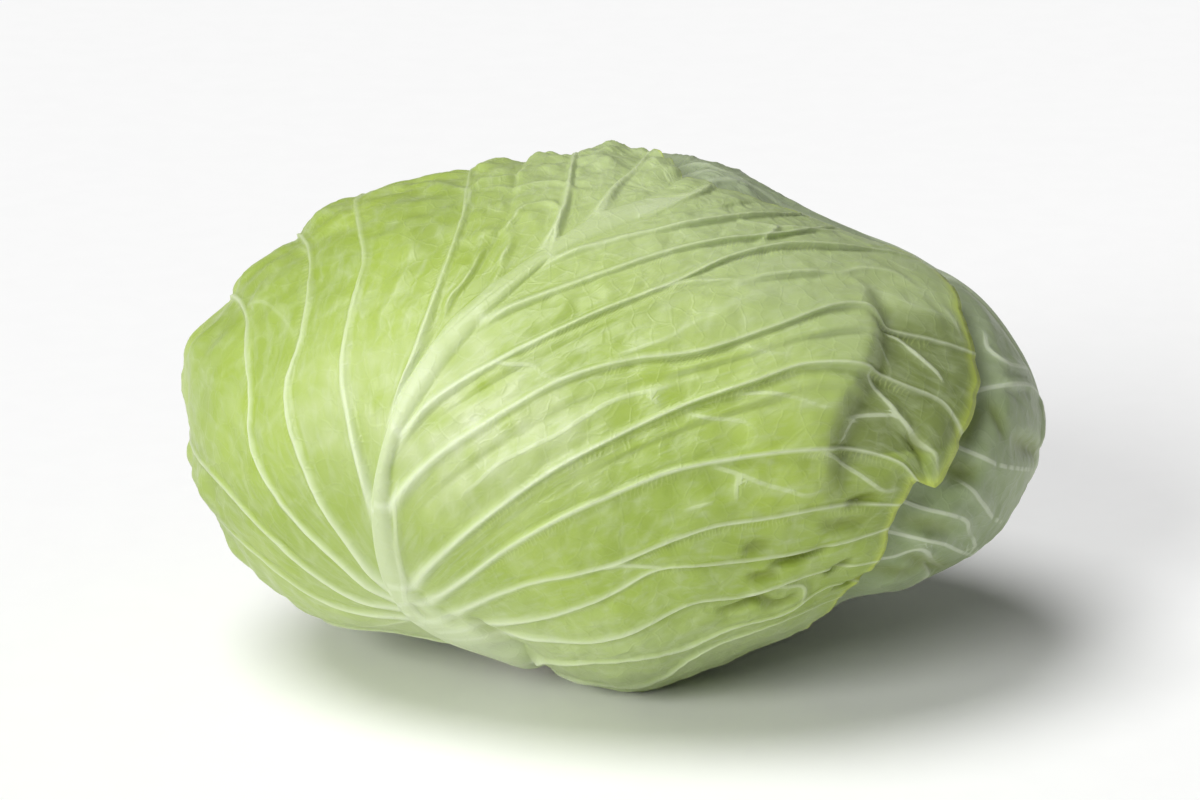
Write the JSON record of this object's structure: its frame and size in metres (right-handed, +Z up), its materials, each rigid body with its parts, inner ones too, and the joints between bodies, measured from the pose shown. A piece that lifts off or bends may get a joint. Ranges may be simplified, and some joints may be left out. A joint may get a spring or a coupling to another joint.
{
  "type": "cabbage head",
  "caption": "Flat white cabbage head with pale ribbed wrapping leaves, lying on its base.",
  "frame": {"origin": "centre of the head's box, on the surface that it rests on", "axes": "+X along the head's length, +Y away from the side that shows the outermost leaf's midrib, +Z up"},
  "size_m": [0.2834, 0.2135, 0.1751],
  "materials": {
    "outer_leaf": "satin",
    "wrapping_leaf": "satin",
    "inner_leaf": "satin",
    "stem": "matte"
  },
  "bodies": {
    "root": {"leaf_front": "outer_leaf", "leaf_right": "wrapping_leaf", "leaf_left": "wrapping_leaf", "leaf_under_front": "wrapping_leaf", "leaf_under_back": "wrapping_leaf", "leaf_crown": "wrapping_leaf", "heart": "inner_leaf", "stem": "stem"}
  },
  "joints": []
}
